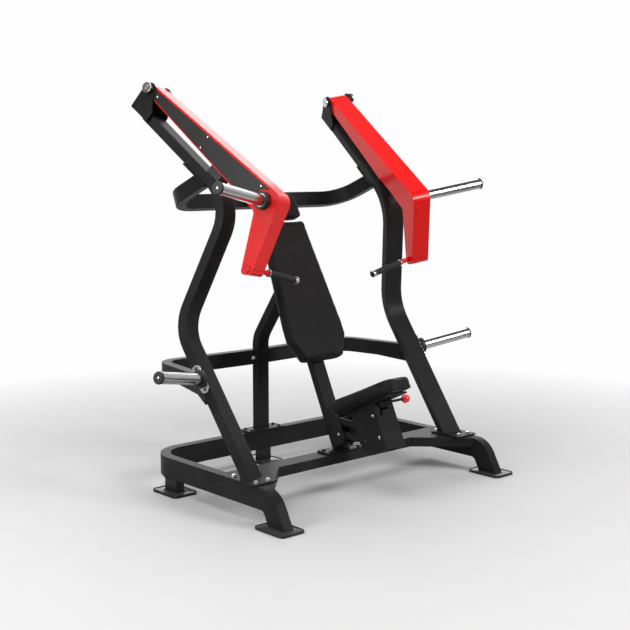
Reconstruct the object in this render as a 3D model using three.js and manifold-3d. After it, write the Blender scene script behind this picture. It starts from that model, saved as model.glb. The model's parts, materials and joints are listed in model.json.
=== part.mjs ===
// Plate-loaded converging chest press machine, in millimetres, +Z up.
// The user sits with the back to +Y and faces -Y; the origin is on the floor under the middle of the box.
// Each side's upright and swing arm lie in one plane that is toed in and leans inward, so they are drawn
// in that plane: e1 runs rearward, e2 runs up the plane, n points outward. The left side is the mirror image.
import * as THREE from 'three';
import { mergeVertices } from 'three/addons/utils/BufferGeometryUtils.js';
import Module from 'manifold-3d';

const wasm = await Module();
wasm.setup();

// ---------------------------------------------------------------- driving dimensions
const GAP = 0.3;                       // clearance kept between touching pieces
const TUBE = { face: 92, depth: 45 };  // main rectangular tube
const LIGHT = { face: 70, depth: 42 }; // lighter rectangular tube
const PLATE = 8;                       // welded plate thickness

const FOOT = { length: 182, width: 128, thick: 7, corner: 22 };
const BASE = { top: 158, halfWidth: 648, rearY: 245, bend: 147, railFront: -560 };
const LEG = { kneeY: -598.5, footY: -653, lean: 28.6, bend: 71 };
const REAR_FOOT = { y: 75, length: 92 };
const BEAM = { rearY: -268, frontY: -362, gussetX: 410, gussetY: -575 };

const SIDE = { origin: [647, -475, 169], toe: 17.41, lean: 10.12 };
const UPRIGHT = {
  line: [[-19, -72.3], [452.3, 595.8], [249.2, 1141.8], [738, 1519.6]],
  bends: [185, 190],
};
const UPRIGHT_PLATE = { x: 622, y: -444, width: 132, length: 176 };

const MID_RING = { top: 558, height: 70, halfWidth: 569, rearY: 286, middleY: 262, bend: 98, flare: 9.6 };
const TOP_RING = { y: 265, z: 1273, tilt: 22, halfWidth: 526, bend: 125, arm: 300 };
const POST = { y: 260, kneeZ: 613, lean: 35.5, bend: 120 };
const BACK = { tilt: 25.2, near: 336, footS: -60, topS: 1226 };
const STAND_PLATE = { width: 224, length: 86 };

const BACK_PAD = { from: 380, to: 437, low: 425, high: 1104, foot: 112, wide: 162, wideAt: 585, head: 118 };
const HEAD_PAD = { from: 380, to: 437, low: 1122, high: 1246, halfWidth: 113, crown: 98 };

const PIVOT = { e1: 710, e2: 1633, hub: 21, shaft: 12.5, cap: 24, out: 42, in: -115 };
const STOP = { from: 104, to: 180, high: [38.4, 40.6], in: -78, out: -8 };
const CHEEK = { inner: -92.6, outer: 9, thick: 8 };
const ARM = { in: -91, out: 5 };
const FOLD = { down: [-0.16, -0.987], from: -1275, to: -1201, step: 7 };  // where the arm's inner face steps
const HORN = { radius: 25, collar: 38.5, collarLength: 18, cap: 27 };
const ARM_HORN = { e1: 71, e2: 1147, tip: 333 };
const STORE_HORN = { e1: 303, e2: 385, tip: 294 };
const HANDLE = { start: [118.3, 862.2, -85], end: [64.5, 842.5, -313.7], neck: 11, grip: 14, ringAt: 55 };
const BOSS = { radius: 19, out: 7.5, in: -62 };   // the handle's round root, through the arm's lower end

const SEAT = {
  pivot: [432, 70], reach: [155, -75], rise: 65, pin: 7,    // lower fixed pivot, link vector, upper link offset
  pad: { rear: 505, front: 842, low: 149, high: 207, rearHalf: 135, frontHalf: 66 },
  carriage: { rear: 548, front: 700, low: -72, high: 140, half: 58, wall: 6 },
  notch: [[-30, 128], [-20, 105.5], [17, 106.5], [-28, 81]],   // its four points on the front plate, as (x, s)
  link: { half: 49, wall: 9, radius: 14, web: [140, 163] },
  board: { rear: 520, front: 800, half: 62, thick: 8.4 },
  bracket: { low: 24, high: 180, front: 462, half: 58, wall: 6 },
  rack: { radius: 107, from: -40, to: 24, teeth: 7, depth: 7 },
  lever: { x: -30, f: 715, s: 128, end: 106, radius: 6, crank: 4.6, knob: 20 },
};

// ---------------------------------------------------------------- materials
const finish = (color, roughness, metalness) =>
  new THREE.MeshStandardMaterial({ color, roughness, metalness });
const FRAME = finish(0x2d2e30, 0.45, 0.1);
const RED = finish(0xd81418, 0.35, 0.1);
const BLACK = finish(0x121212, 0.5, 0);
const RUBBER = finish(0x0c0c0c, 0.8, 0);
const CHROME = finish(0xd8dadd, 0.12, 1);
const UPHOLSTERY = finish(0x1d1d1e, 0.6, 0);

// ---------------------------------------------------------------- plane geometry
const rad = THREE.MathUtils.degToRad;

/** Points of an arc about (cx, cy), from angle a to angle b in degrees. */
function arc(cx, cy, radius, a, b, steps = 6) {
  const points = [];
  for (let i = 0; i <= steps; i += 1) {
    const t = rad(a + ((b - a) * i) / steps);
    points.push([cx + radius * Math.cos(t), cy + radius * Math.sin(t)]);
  }
  return points;
}

/** A polyline with its inner corners rounded: returns [point, unit tangent] pairs. */
function bentLine(corners, bends, steps = 7) {
  const at = corners.map(([x, y]) => new THREE.Vector2(x, y));
  const way = at.slice(1).map((p, i) => p.clone().sub(at[i]).normalize());
  const line = [[at[0], way[0]]];
  for (let i = 1; i < at.length - 1; i += 1) {
    const turn = Math.atan2(way[i - 1].cross(way[i]), way[i - 1].dot(way[i]));
    const bend = bends[i - 1];
    const setback = bend * Math.tan(Math.abs(turn) / 2);
    const start = at[i].clone().addScaledVector(way[i - 1], -setback);
    const side = new THREE.Vector2(-way[i - 1].y, way[i - 1].x).multiplyScalar(Math.sign(turn));
    const centre = start.clone().addScaledVector(side, bend);
    for (let k = 0; k <= steps; k += 1) {
      const angle = (turn * k) / steps;
      const spoke = start.clone().sub(centre).rotateAround(new THREE.Vector2(), angle);
      line.push([centre.clone().add(spoke), way[i - 1].clone().rotateAround(new THREE.Vector2(), angle)]);
    }
  }
  line.push([at[at.length - 1], way[way.length - 1]]);
  return line;
}

/** Outline of a bent tube seen from its side. */
function strip(corners, bends, depth, steps) {
  const line = bentLine(corners, bends, steps);
  const edge = (sign) => line.map(([p, t]) => [p.x - (sign * t.y * depth) / 2, p.y + (sign * t.x * depth) / 2]);
  return [...edge(1), ...edge(-1).reverse()];
}

/** A polygon whose corners are rounded by the given radii (0 leaves a sharp corner). */
function rounded(corners, radii, steps = 4) {
  const points = [];
  corners.forEach(([x, y], i) => {
    const radius = Array.isArray(radii) ? radii[i] : radii;
    if (!radius) {
      points.push([x, y]);
      return;
    }
    const before = corners[(i + corners.length - 1) % corners.length];
    const after = corners[(i + 1) % corners.length];
    const line = bentLine([before, [x, y], after], [radius], steps);
    line.slice(1, -1).forEach(([point]) => points.push(point.toArray()));
  });
  return points;
}

/** A strip with round ends between two points. */
function stadium(a, b, half, steps = 6) {
  const angle = THREE.MathUtils.radToDeg(Math.atan2(b[1] - a[1], b[0] - a[0]));
  return [...arc(...b, half, angle - 90, angle + 90, steps), ...arc(...a, half, angle + 90, angle + 270, steps)];
}

/** A rectangle about (x, y) with rounded corners. */
function plateOutline(x, y, width, length, corner) {
  const [w, l] = [width / 2, length / 2];
  return rounded([[x - w, y - l], [x + w, y - l], [x + w, y + l], [x - w, y + l]], corner);
}

// ---------------------------------------------------------------- solids
/** A prism of a plane outline, from z = low to z = high. */
function prism(outline, low, high) {
  const shape = new THREE.Shape(outline.map(([x, y]) => new THREE.Vector2(x, y)));
  const geometry = new THREE.ExtrudeGeometry(shape, { depth: high - low, bevelEnabled: false });
  return geometry.translate(0, 0, low);
}

/** A round bar along +Z with the given [radius, z] steps, closed on its axis. */
function turned(profile, segments = 28) {
  return new THREE.LatheGeometry(profile.map(([r, z]) => new THREE.Vector2(r, z)), segments)
    .rotateX(Math.PI / 2);
}

/** A plain round bar from z = low to z = high. */
const bar = (radius, low, high, segments) => turned([[0, low], [radius, low], [radius, high], [0, high]], segments);

/** A round ring from z = low to z = high. */
const ring = (outer, inner, low, high) =>
  turned([[inner, low], [outer, low], [outer, high], [inner, high], [inner, low]]);

function solid(geometry) {
  const bare = geometry.index ? geometry.toNonIndexed() : geometry.clone();
  bare.deleteAttribute('normal');
  bare.deleteAttribute('uv');
  const merged = mergeVertices(bare, 1e-3);
  const index = Array.from(merged.index.array);
  const kept = [];
  for (let i = 0; i < index.length; i += 3) {
    const [a, b, c] = index.slice(i, i + 3);
    if (a !== b && b !== c && a !== c) kept.push(a, b, c);
  }
  return new wasm.Manifold(new wasm.Mesh({
    numProp: 3,
    vertProperties: new Float32Array(merged.attributes.position.array),
    triVerts: new Uint32Array(kept),
  }));
}

function geometryOf(manifold) {
  const mesh = manifold.getMesh();
  const geometry = new THREE.BufferGeometry();
  geometry.setAttribute('position', new THREE.BufferAttribute(Float32Array.from(mesh.vertProperties), 3));
  geometry.setIndex(new THREE.BufferAttribute(Uint32Array.from(mesh.triVerts), 1));
  geometry.computeVertexNormals();
  return geometry;
}

/** Joins the first list of geometries and cuts away the second. */
function carve(joined, cut = []) {
  let body = solid(joined[0]);
  joined.slice(1).forEach((geometry) => { body = body.add(solid(geometry)); });
  cut.forEach((geometry) => { body = body.subtract(solid(geometry)); });
  return geometryOf(body);
}

/** A box given by its low and high corners. */
function block(low, high) {
  const size = high.map((v, i) => v - low[i]);
  return new THREE.BoxGeometry(...size).translate(...high.map((v, i) => (v + low[i]) / 2));
}

// ---------------------------------------------------------------- groups and frames
const machine = new THREE.Group();

const rightSide = new THREE.Group();
const leftSide = new THREE.Group();
leftSide.scale.x = -1;
machine.add(rightSide, leftSide);

/** Matrix of the leaning side plane: columns e1, e2 and n. */
function sideMatrix() {
  const [c, s] = [Math.cos(rad(SIDE.toe)), Math.sin(rad(SIDE.toe))];
  const [cl, sl] = [Math.cos(rad(SIDE.lean)), Math.sin(rad(SIDE.lean))];
  const e1 = new THREE.Vector3(s, c, 0);
  const n = new THREE.Vector3(c * cl, -s * cl, sl);
  const e2 = n.clone().cross(e1);
  return new THREE.Matrix4().makeBasis(e1, e2, n).setPosition(...SIDE.origin);
}

/** Side views are drawn as (y, z) and pulled out along x. */
const ACROSS = new THREE.Matrix4().makeBasis(
  new THREE.Vector3(0, 1, 0), new THREE.Vector3(0, 0, 1), new THREE.Vector3(1, 0, 0));

/** The reclined frame of back and seat: f runs forward off the back tube, s runs up along it, then x. */
const RECLINE = new THREE.Matrix4().makeBasis(
  new THREE.Vector3(0, -Math.cos(rad(BACK.tilt)), Math.sin(rad(BACK.tilt))),
  new THREE.Vector3(0, Math.sin(rad(BACK.tilt)), Math.cos(rad(BACK.tilt))),
  new THREE.Vector3(-1, 0, 0));

/** The top ring's own frame: x, then r rearward and down, then u. */
const TOP_FRAME = new THREE.Matrix4().makeRotationX(-rad(TOP_RING.tilt)).setPosition(0, TOP_RING.y, TOP_RING.z);

const SIDE_FRAME = sideMatrix();
const intoSide = SIDE_FRAME.clone().invert();

function place(parent, matrix) {
  const group = new THREE.Group();
  matrix.decompose(group.position, group.quaternion, group.scale);
  parent.add(group);
  return group;
}

const onRight = place(rightSide, SIDE_FRAME);
const onLeft = place(leftSide, SIDE_FRAME);

function add(parent, name, geometry, material) {
  const mesh = new THREE.Mesh(geometry, material);
  mesh.name = name;
  parent.add(mesh);
}

/** The same piece on both sides, drawn in the machine's own frame. */
function addPair(name, geometry, material) {
  add(rightSide, `${name}_right`, geometry, material);
  add(leftSide, `${name}_left`, geometry, material);
}

/** The same piece on both sides, drawn in the leaning side plane. */
function addSidePair(name, geometry, material) {
  add(onRight, `${name}_right`, geometry, material);
  add(onLeft, `${name}_left`, geometry, material);
}

const centre = place(machine, new THREE.Matrix4());
const reclined = place(machine, RECLINE);

/** Everything below a height, as a cutting tool in the machine's frame. */
const below = (height) => block([-2000, -2000, -500], [2000, 2000, height]);

// ---------------------------------------------------------------- base
const RAIL_LOW = BASE.top - TUBE.face;

function legGeometry() {
  const mid = BASE.top - TUBE.face / 2;
  const [dy, dz] = [-Math.sin(rad(LEG.lean)), -Math.cos(rad(LEG.lean))];
  const outline = strip([[LEG.kneeY + 160, mid], [LEG.kneeY, mid], [LEG.kneeY + dy * 190, mid + dz * 190]],
    [LEG.bend], TUBE.face, 8);
  return prism(outline, -TUBE.depth / 2, TUBE.depth / 2).applyMatrix4(ACROSS);
}

function baseRing() {
  const { halfWidth: w, rearY, railFront } = BASE;
  const plan = strip([[w, railFront], [w, rearY], [-w, rearY], [-w, railFront]], [BASE.bend, BASE.bend],
    TUBE.depth);
  const legs = [w, -w].map((x) => legGeometry().translate(x, 0, 0));
  return carve([prism(plan, RAIL_LOW, BASE.top), ...legs], [below(FOOT.thick + GAP)]);
}

function crossBeam() {
  const end = BASE.halfWidth - TUBE.depth / 2 - GAP;
  const { rearY, frontY, gussetX, gussetY } = BEAM;
  return prism([[-end, gussetY], [-gussetX, frontY], [gussetX, frontY], [end, gussetY], [end, rearY],
    [-end, rearY]], BASE.top - TUBE.depth, BASE.top);
}

const footPlate = (x, y) => prism(plateOutline(x, y, FOOT.width, FOOT.length, FOOT.corner), 0, FOOT.thick);

/** A short upright stub under the rail, welded on its foot plate. */
function stubFoot(x, y, width, length) {
  const stub = prism(plateOutline(x, y, width, length, 6), FOOT.thick - 1, RAIL_LOW - GAP);
  return carve([footPlate(x, y), stub]);
}

add(centre, 'base_ring', baseRing(), FRAME);
add(centre, 'cross_beam', crossBeam(), FRAME);
addPair('front_foot', footPlate(BASE.halfWidth + 6, LEG.footY), BLACK);
addPair('rear_foot', stubFoot(BASE.halfWidth, REAR_FOOT.y, TUBE.depth, REAR_FOOT.length), BLACK);
add(centre, 'center_foot', stubFoot(0, BASE.rearY, LIGHT.face, LIGHT.depth), BLACK);

// ---------------------------------------------------------------- uprights
function uprightSolid(spare) {
  const outline = strip(UPRIGHT.line, UPRIGHT.bends, TUBE.depth + 2 * spare, 8);
  return prism(outline, -TUBE.face - spare, spare);
}

addPair('upright_plate', prism(plateOutline(UPRIGHT_PLATE.x, UPRIGHT_PLATE.y, UPRIGHT_PLATE.width,
  UPRIGHT_PLATE.length, 8), BASE.top + GAP, BASE.top + PLATE), FRAME);
addSidePair('upright', carve([uprightSolid(0)],
  [below(BASE.top + PLATE + GAP).applyMatrix4(intoSide)]), FRAME);

// ---------------------------------------------------------------- storage ring, one half on each side of the post
const FLANGE = { low: 494, high: 540, front: 232, rear: 290 };

/** Everything in front of the upright's rear face along its lower leg. */
function aheadOfUpright() {
  const [a, b] = [UPRIGHT.line[0], UPRIGHT.line[1]];
  const way = new THREE.Vector2(b[0] - a[0], b[1] - a[1]).normalize();
  const off = TUBE.depth / 2 + GAP;
  const at = ([x, y]) => [x + way.y * off, y - way.x * off];
  const [low, high] = [at(a), at(b)];
  return prism([low, high, [high[0] - 900, high[1]], [low[0] - 900, low[1]]], -400, 400)
    .applyMatrix4(SIDE_FRAME);
}

function midRing() {
  const { halfWidth: w, rearY, middleY, top, height, bend } = MID_RING;
  const start = LIGHT.face / 2 + GAP;
  const flare = rad(MID_RING.flare);
  const widthAt = (y) => w + (rearY - y) * Math.tan(flare);
  const plan = strip([[start, middleY], [w, rearY], [widthAt(-200), -200]], [bend], TUBE.depth);
  const low = top - height;
  const gusset = prism([[0, low], [-178, low - 14], [-250, low - 46], [-250, top - 1], [0, top - 1]],
    -TUBE.depth / 2, TUBE.depth / 2).applyMatrix4(ACROSS).rotateZ(flare).translate(widthAt(48), 48, 0);
  const flange = block([start, FLANGE.front, FLANGE.low], [start + PLATE, FLANGE.rear, FLANGE.high]);
  return carve([prism(plan, low, top), gusset, flange], [aheadOfUpright(), block([-200, 0, 0], [start, 500, 1000])]);
}

addPair('storage_ring', midRing(), FRAME);

// ---------------------------------------------------------------- top ring
const RING_PLATE = { from: 142, to: 298 };   // along the upright's upper leg from its knee

/** Points beside the upright's upper leg: along it from the knee, and off its rear face (minus: front). */
function legPoint(along, off) {
  const [, , b, c] = UPRIGHT.line;
  const way = new THREE.Vector2(c[0] - b[0], c[1] - b[1]).normalize();
  const d = off + (Math.sign(off) * TUBE.depth) / 2;
  return [b[0] + way.x * along + way.y * d, b[1] + way.y * along - way.x * d];
}

function ringPlate() {
  const { from, to } = RING_PLATE;
  return prism([legPoint(from, GAP), legPoint(to, GAP), legPoint(to, PLATE), legPoint(from, PLATE)],
    -TUBE.face - 3, 3);
}

function topRing() {
  const { halfWidth: w, bend, arm } = TOP_RING;
  const plan = strip([[w, -arm], [w, 0], [-w, 0], [-w, -arm]], [bend, bend], LIGHT.depth);
  const body = prism(plan, -LIGHT.face / 2, LIGHT.face / 2).applyMatrix4(TOP_FRAME);
  const stop = PLATE + GAP;
  const ahead = prism([legPoint(-300, stop), legPoint(700, stop), legPoint(700, -400), legPoint(-300, -400)],
    -400, 400).applyMatrix4(SIDE_FRAME);
  const mirrored = ahead.clone().applyMatrix4(new THREE.Matrix4().makeScale(-1, 1, 1));
  flipFaces(mirrored);
  return carve([body], [ahead, mirrored]);
}

/** Turns the faces of a mirrored geometry outward again. */
function flipFaces(geometry) {
  const { position } = geometry.attributes;
  for (let i = 0; i < position.count; i += 3) {
    const [b, c] = [i + 1, i + 2].map((k) => new THREE.Vector3().fromBufferAttribute(position, k));
    position.setXYZ(i + 1, c.x, c.y, c.z);
    position.setXYZ(i + 2, b.x, b.y, b.z);
  }
}

addSidePair('ring_plate', ringPlate(), FRAME);
add(centre, 'top_ring', topRing(), FRAME);

// ---------------------------------------------------------------- rear post and back support
const FORWARD = [-Math.cos(rad(BACK.tilt)), Math.sin(rad(BACK.tilt))];
const UPWARD = [Math.sin(rad(BACK.tilt)), Math.cos(rad(BACK.tilt))];
const recline = (f, s) => [f * FORWARD[0] + s * UPWARD[0], f * FORWARD[1] + s * UPWARD[1]];

const standPlate = (y) => prism(plateOutline(0, y, STAND_PLATE.width, STAND_PLATE.length, 10),
  BASE.top + GAP, BASE.top + PLATE);

function rearPost() {
  const [dy, dz] = [-Math.sin(rad(POST.lean)), Math.cos(rad(POST.lean))];
  const reach = 460;
  const outline = strip([[POST.y, BASE.top + PLATE + GAP], [POST.y, POST.kneeZ],
    [POST.y + dy * reach, POST.kneeZ + dz * reach]], [POST.bend], LIGHT.depth);
  const post = prism(outline, -LIGHT.face / 2, LIGHT.face / 2).applyMatrix4(ACROSS);
  const tube = prism([recline(BACK.near - GAP, 0), recline(BACK.near - GAP, 1600), recline(900, 1600),
    recline(900, 0)], -200, 200).applyMatrix4(ACROSS);
  return carve([post], [tube]);
}

function backSupport() {
  const { near, footS, topS } = BACK;
  const outline = [recline(near, footS), recline(near, topS), recline(near + LIGHT.depth, topS),
    recline(near + LIGHT.depth, footS)];
  return carve([prism(outline, -LIGHT.face / 2, LIGHT.face / 2).applyMatrix4(ACROSS)],
    [below(BASE.top + PLATE + GAP)]);
}

add(centre, 'post_plate', standPlate(BASE.rearY + 6), FRAME);
add(centre, 'rear_post', rearPost(), FRAME);
add(centre, 'support_plate', standPlate((BEAM.rearY + BEAM.frontY) / 2), FRAME);
add(centre, 'back_support', backSupport(), FRAME);

// ---------------------------------------------------------------- back and head pads, drawn as (x, s)
/** A pad lying against the reclined frame: its outline in (x, s), thick from f = from to f = to. */
const reclinedPad = (outline, from, to) => prism(outline, from, to).rotateY(Math.PI / 2);

function backPadOutline() {
  const { low, high, foot, wide, wideAt, head } = BACK_PAD;
  return rounded([[-foot, low], [foot, low], [wide, wideAt - 60], [wide, wideAt + 10], [head, high],
    [-head, high], [-wide, wideAt + 10], [-wide, wideAt - 60]], [24, 24, 40, 60, 22, 22, 60, 40]);
}

function headPadOutline() {
  const { low, high, halfWidth: w, crown } = HEAD_PAD;
  return rounded([[-w, low], [w, low], [w - 3, low + 70], [crown, high], [-crown, high], [-w + 3, low + 70]],
    [20, 20, 30, 24, 24, 30]);
}

add(reclined, 'back_pad', reclinedPad(backPadOutline(), BACK_PAD.from, BACK_PAD.to), UPHOLSTERY);
add(reclined, 'head_pad', reclinedPad(headPadOutline(), HEAD_PAD.from, HEAD_PAD.to), UPHOLSTERY);

// ---------------------------------------------------------------- pivot bracket and shaft
const CHEEK_IN = CHEEK.inner - CHEEK.thick;
const CHEEK_OUT = CHEEK.outer + CHEEK.thick;

function pivotBracket() {
  const { e1, e2, hub } = PIVOT;
  const lug = arc(e1, e2, hub + 6, 180, 35, 8);
  const outline = [...lug, [757, 1626], [808, 1557], [715, 1487], [687, 1524], [691, 1560]];
  const webbed = [[e1 - 60, e2 + 60], [e1 + 9, e2 + 60], [748, 1621], [797, 1556], [703, 1486],
    [640, 1440], [600, 1600]];
  return carve([prism(outline, CHEEK_IN, CHEEK_OUT)],
    [prism(webbed, CHEEK.inner, CHEEK.outer), bar(PIVOT.shaft + GAP, -200, 100).translate(e1, e2, 0),
      uprightSolid(GAP)]);
}

function pivotShaft() {
  const { shaft, cap, out } = PIVOT;
  const thick = 8;
  return turned([[0, PIVOT.in], [cap, PIVOT.in], [cap, PIVOT.in + thick], [shaft, PIVOT.in + thick],
    [shaft, out - thick], [cap, out - thick], [cap, out], [0, out]]).translate(PIVOT.e1, PIVOT.e2, 0);
}

/** Block on the upright's front face that the arm comes to rest against. */
function rubberStop() {
  const { from, to, high } = STOP;
  return carve([prism([legPoint(from, -high[0]), legPoint(from, 0), legPoint(to, 0), legPoint(to, -high[1])],
    STOP.in, STOP.out)], [uprightSolid(GAP)]);
}

addSidePair('pivot_bracket', pivotBracket(), FRAME);
addSidePair('pivot_shaft', pivotShaft(), CHROME);

// ---------------------------------------------------------------- swing arm
const handleWay = new THREE.Vector3(...HANDLE.end).sub(new THREE.Vector3(...HANDLE.start)).normalize();
const handleLength = new THREE.Vector3(...HANDLE.end).distanceTo(new THREE.Vector3(...HANDLE.start));

/** Lays a bar drawn along +Z on the handle's line. */
function alongHandle(geometry) {
  const turn = new THREE.Quaternion().setFromUnitVectors(new THREE.Vector3(0, 0, 1), handleWay);
  return geometry.applyQuaternion(turn).translate(...HANDLE.start);
}

/** Puts a bar drawn along +Z on the axis of the handle's root. */
const atBoss = (geometry) => geometry.translate(HANDLE.start[0], HANDLE.start[1] - 1, 0);

function armOutline() {
  const hub = arc(PIVOT.e1, PIVOT.e2, PIVOT.hub, -30, 124, 8);
  const knee = rounded([[690, 1645], [-19, 1165], [97, 836], [150, 836], [110, 1103], [697, 1585]],
    [0, 50, 16, 16, 26, 0], 6);
  return [...hub, ...knee.slice(1)];
}

/** What the arm's inner face loses below its elbow: a short ramp, then a shallow step. */
function armRelief() {
  const down = new THREE.Vector3(...FOLD.down, 0).normalize();
  const out = new THREE.Vector3(0, 0, 1);
  const basis = new THREE.Matrix4().makeBasis(down, out, down.clone().cross(out));
  const [from, to, floor] = [FOLD.from, FOLD.to, ARM.in + FOLD.step];
  return prism([[from, ARM.in], [from, ARM.in - 30], [to + 600, ARM.in - 30], [to + 600, floor], [to, floor]],
    -700, 700).applyMatrix4(basis);
}

function swingArm() {
  const seam = prism([[80, 859], [93, 859], [93.5, 857.4], [80, 857.4]], -200, 100);
  return carve([prism(armOutline(), ARM.in, ARM.out)],
    [armRelief(), seam, bar(PIVOT.shaft + GAP, -200, 100).translate(PIVOT.e1, PIVOT.e2, 0),
      atBoss(bar(BOSS.radius + GAP, BOSS.in - GAP, 100)), alongHandle(bar(HANDLE.neck + GAP, -30, handleLength))]);
}

function armPlate() {
  const cut = arc(ARM_HORN.e1, ARM_HORN.e2, 48, -25, 112, 8);
  const outline = [...cut, [44, 1196], ...arc(PIVOT.e1, PIVOT.e2, 25.5, 183, 256, 6), [702, 1595.5], [150, 1143]];
  return prism(outline, ARM.out + GAP, ARM.out + GAP + 3);
}

function horn(base, tip) {
  return bar(HORN.radius, base + GAP, tip - 10 - GAP);
}

function hornCap(tip) {
  const { cap } = HORN;
  return turned([[0, tip - 10], [cap, tip - 10], [cap, tip - 4], [cap - 4, tip], [0, tip]]);
}

const hornCollar = (base) => ring(HORN.collar, HORN.radius + GAP, base + GAP, base + HORN.collarLength);

addSidePair('arm', swingArm(), RED);
addSidePair('arm_cover', armPlate(), BLACK);
const atArmHorn = (geometry) => geometry.translate(ARM_HORN.e1, ARM_HORN.e2, 0);
addSidePair('arm_horn_collar', atArmHorn(hornCollar(ARM.out)), RUBBER);
addSidePair('arm_horn', atArmHorn(horn(ARM.out, ARM_HORN.tip)), CHROME);
addSidePair('arm_horn_cap', atArmHorn(hornCap(ARM_HORN.tip)), RUBBER);
addSidePair('handle_tube', carve([atBoss(bar(BOSS.radius, BOSS.in, BOSS.out)),
  alongHandle(bar(HANDLE.neck, -30, HANDLE.ringAt))]), RED);
addSidePair('grip', alongHandle(bar(HANDLE.grip, HANDLE.ringAt + GAP, handleLength)), RUBBER);
addSidePair('rubber_stop', rubberStop(), RUBBER);

// ---------------------------------------------------------------- storage horns
const STORE_PLATE = { length: 131, half: 22, thick: 4 };

function storePlate() {
  const [a, b] = UPRIGHT.line.map(([x, y]) => new THREE.Vector2(x, y));
  const way = b.clone().sub(a).normalize().multiplyScalar(STORE_PLATE.length / 2 - STORE_PLATE.half);
  const outline = stadium([-way.x, -way.y], [way.x, way.y], STORE_PLATE.half, 8);
  return prism(outline, GAP, STORE_PLATE.thick);
}

const atStore = (geometry) => geometry.translate(STORE_HORN.e1, STORE_HORN.e2, 0);
addSidePair('storage_plate', atStore(storePlate()), CHROME);
addSidePair('storage_collar', atStore(hornCollar(STORE_PLATE.thick)), RUBBER);
addSidePair('storage_horn', atStore(horn(STORE_PLATE.thick, STORE_HORN.tip)), CHROME);
addSidePair('storage_horn_cap', atStore(hornCap(STORE_HORN.tip)), RUBBER);

// ---------------------------------------------------------------- seat, drawn as (f, s) and pulled out along x
const across = (outline, half) => prism(outline, -half, half);
const [PF, PS] = SEAT.pivot;
const [RF, RS] = SEAT.reach;

/** A pivot pin from one side wall to the other. */
const seatPin = (half) => bar(SEAT.pin, -half + 1, half - 1, 16);

/** Fixed bracket on the back tube: a web plate with two cheeks. */
function seatBracket() {
  const { low, high, front, half, wall } = SEAT.bracket;
  const rear = BACK.near + LIGHT.depth + GAP;
  const outline = [[rear, low], [front - 24, low], [front, low + 24], [front, high - 34], [front - 34, high],
    [rear, high]];
  const inside = [[rear + wall, low - 1], [front + 1, low - 1], [front + 1, high + 1], [rear + wall, high + 1]];
  const pins = [0, SEAT.rise].map((rise) => seatPin(half).translate(PF, PS + rise, 0));
  return carve([carve([across(outline, half)], [across(inside, half - wall)]), ...pins]);
}

/** A link of the seat's parallelogram: two side bars and a cross web near its far end. */
function seatLink(rise) {
  const { half, wall, radius, web } = SEAT.link;
  const length = Math.hypot(RF, RS);
  const outline = stadium([0, 0], [length, 0], radius);
  const slot = [[-40, -40], [web[0], -40], [web[0], 40], [-40, 40]];
  const tail = [[web[1], -40], [250, -40], [250, 40], [web[1], 40]];
  const holes = [0, length].map((along) => bar(SEAT.pin + 2 * GAP, -100, 100, 16).translate(along, 0, 0));
  return carve([across(outline, half)], [across(slot, half - wall), across(tail, half - wall), ...holes])
    .rotateZ(Math.atan2(RS, RF)).translate(PF, PS + rise, 0);
}

/** Toothed sector that the seat's latch bites into, fixed to the bracket. */
function seatRack() {
  const { radius, from, to, teeth, depth } = SEAT.rack;
  const rim = [];
  const step = (to - from) / teeth;
  for (let i = 0; i < teeth; i += 1) {
    const a = from + i * step;
    [[a, radius], [a + step * 0.5, radius], [a + step * 0.5, radius - depth], [a + step, radius - depth]]
      .forEach(([angle, r]) => rim.push([PF + r * Math.cos(rad(angle)), PS + r * Math.sin(rad(angle))]));
  }
  const back = BACK.near + LIGHT.depth + GAP + SEAT.bracket.wall + GAP;
  return carve([across([[back, PS - 30], ...rim, [back, PS + 40]], 4)],
    [bar(SEAT.pin + GAP, -20, 20, 16).translate(PF, PS, 0)]);
}

/** Carriage: a front plate and two side plates under a seat board, welded as one. */
function seatCarriage() {
  const { rear, front, low, high, half, wall } = SEAT.carriage;
  const { board } = SEAT;
  const outline = [[rear, high], ...arc(rear + 78, low + 78, 78, 180, 270, 6), [front, low], [front, high]];
  const inside = [[rear - 1, low - 1], [front - wall, low - 1], [front - wall, high - 1], [rear - 1, high - 1]];
  const top = [[board.rear, high - 2], [board.front, high - 2], [board.front, high - 2 + board.thick],
    [board.rear, high - 2 + board.thick]];
  const [start, corner, side, foot] = SEAT.notch;
  const slots = [[start, corner], [corner, side], [corner, foot]]
    .map(([a, b]) => reclinedPad(stadium(a, b, 5.6), front - wall - 2, front + 2));
  const shell = carve([across(outline, half), across(top, board.half)],
    [across(inside, half - wall), ...slots]);
  const pins = [0, SEAT.rise].map((rise) => seatPin(half).translate(PF + RF, PS + RS + rise, 0));
  return carve([shell, ...pins]);
}

/** Cushion outline seen along s, as (f, x): wide at the back, narrow and round at the front. */
function seatPad() {
  const { rear, front, low, high, rearHalf, frontHalf } = SEAT.pad;
  const outline = rounded([[rear, -rearHalf], [front, -frontHalf], [front, frontHalf], [rear, rearHalf]],
    [25, 40, 40, 25], 6);
  return prism(outline, -high, -low).rotateX(Math.PI / 2);
}

/** Latch lever: a rod with a cranked end that turns in the front plate. */
function seatLever() {
  const { x, f, s, end, radius } = SEAT.lever;
  const inner = SEAT.carriage.front - 14;
  const crank = bar(SEAT.lever.crank, inner, f + radius).rotateY(Math.PI / 2).translate(0, s, -x);
  const rod = bar(radius, -end, -x + radius).translate(f, s, 0);
  return carve([crank, rod]);
}

function seatKnob() {
  const { f, s, end, knob } = SEAT.lever;
  const profile = [[0, end + GAP], [8, end + GAP], [10, end + 4], [15, end + 9], [knob - 1, end + 15],
    [knob, end + 22], [knob - 1.5, end + 30], [knob - 6, end + 37], [knob - 13, end + 41], [0, end + 42]];
  return turned(profile, 20).rotateY(Math.PI).translate(f, s, 0);
}

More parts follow.
